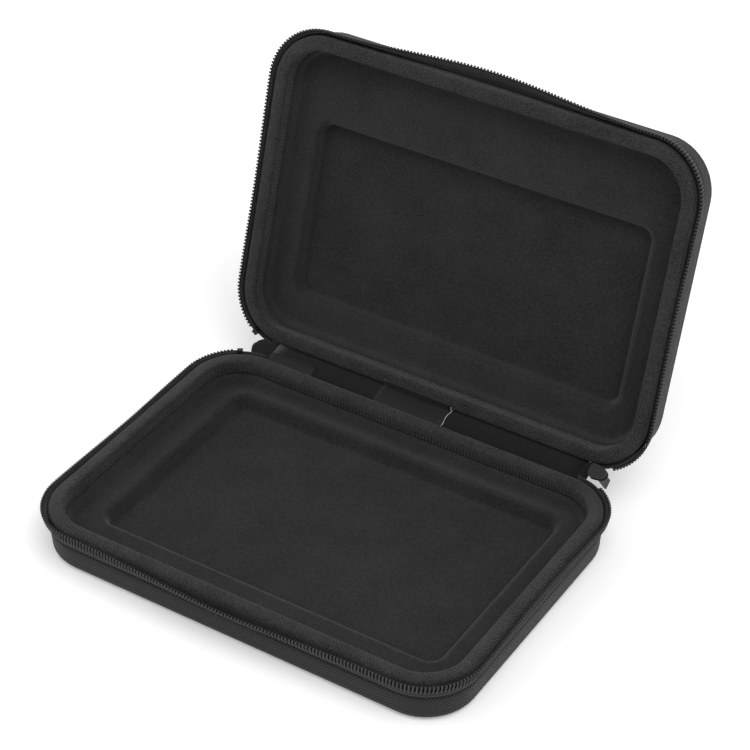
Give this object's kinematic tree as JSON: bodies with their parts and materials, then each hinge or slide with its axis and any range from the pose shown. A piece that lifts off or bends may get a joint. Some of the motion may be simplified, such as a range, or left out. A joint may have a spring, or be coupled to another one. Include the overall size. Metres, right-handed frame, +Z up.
{
  "type": "zippered hard-shell carry case",
  "caption": "Black zippered hard-shell carry case for tabletop gaming miniatures, standing open, with a stepped fabric-lined tray in each half.",
  "frame": {"origin": "centre of the base half's flat bottom face, on the surface the case stands on", "axes": "+X to the right along the hinge, +Y to the back where the hinge is, +Z up out of the base tray"},
  "size_m": [0.2514, 0.2598, 0.1946],
  "materials": {
    "skin": "woven, matte",
    "lining": "brushed knit, matte",
    "foam": "closed-cell foam, matte",
    "binding": "twill tape, matte",
    "zip_tape": "knitted tape, matte",
    "zip_coil": "nylon monofilament, satin",
    "slider": "black enamel, satin",
    "label": "woven satin"
  },
  "bodies": {
    "base": {"base_cover": "skin", "base_foam": "foam", "base_riser": "foam", "base_lining": "lining", "base_binding": "binding", "base_zip_tape": "zip_tape", "base_zip_coil": "zip_coil", "base_zip_stop": "zip_coil", "hinge_spine": "skin", "hinge_liner": "zip_tape", "hinge_end_left": "zip_tape", "hinge_end_right": "zip_tape", "woven_label": "label", "care_tag": "label"},
    "lid": {"lid_cover": "skin", "lid_foam": "foam", "lid_riser": "foam", "lid_lining": "lining", "lid_binding": "binding", "lid_zip_tape": "zip_tape", "lid_zip_coil": "zip_coil", "lid_zip_stop": "zip_coil"},
    "slider": {"slider_body": "slider", "slider_bridge": "slider"},
    "pull": {"pull_tab": "slider"}
  },
  "joints": [
    {"name": "lid_hinge", "type": "hinge", "parent": "base", "child": "lid", "pos_m": [0, 0.0902, 0.0225], "axis": [-1, 0, 0], "range_deg": [-107.3, 45], "deforming": ["hinge_spine", "hinge_liner", "hinge_end_left", "hinge_end_right", "woven_label"]},
    {"name": "slider_turn", "type": "hinge", "parent": "base", "child": "slider", "pos_m": [0.1021, 0.0902, 0.0225], "axis": [-1, 0, 0], "range_deg": [-53.65, 22.5]},
    {"name": "pull_swing", "type": "hinge", "parent": "slider", "child": "pull", "pos_m": [0.1021, 0.09361, 0.02377], "axis": [0, 0.8054, 0.5927], "range_deg": [-75, 75]}
  ],
  "couplings": [
    {"joint": "slider_turn", "follows": "lid_hinge", "ratio": 0.5}
  ]
}
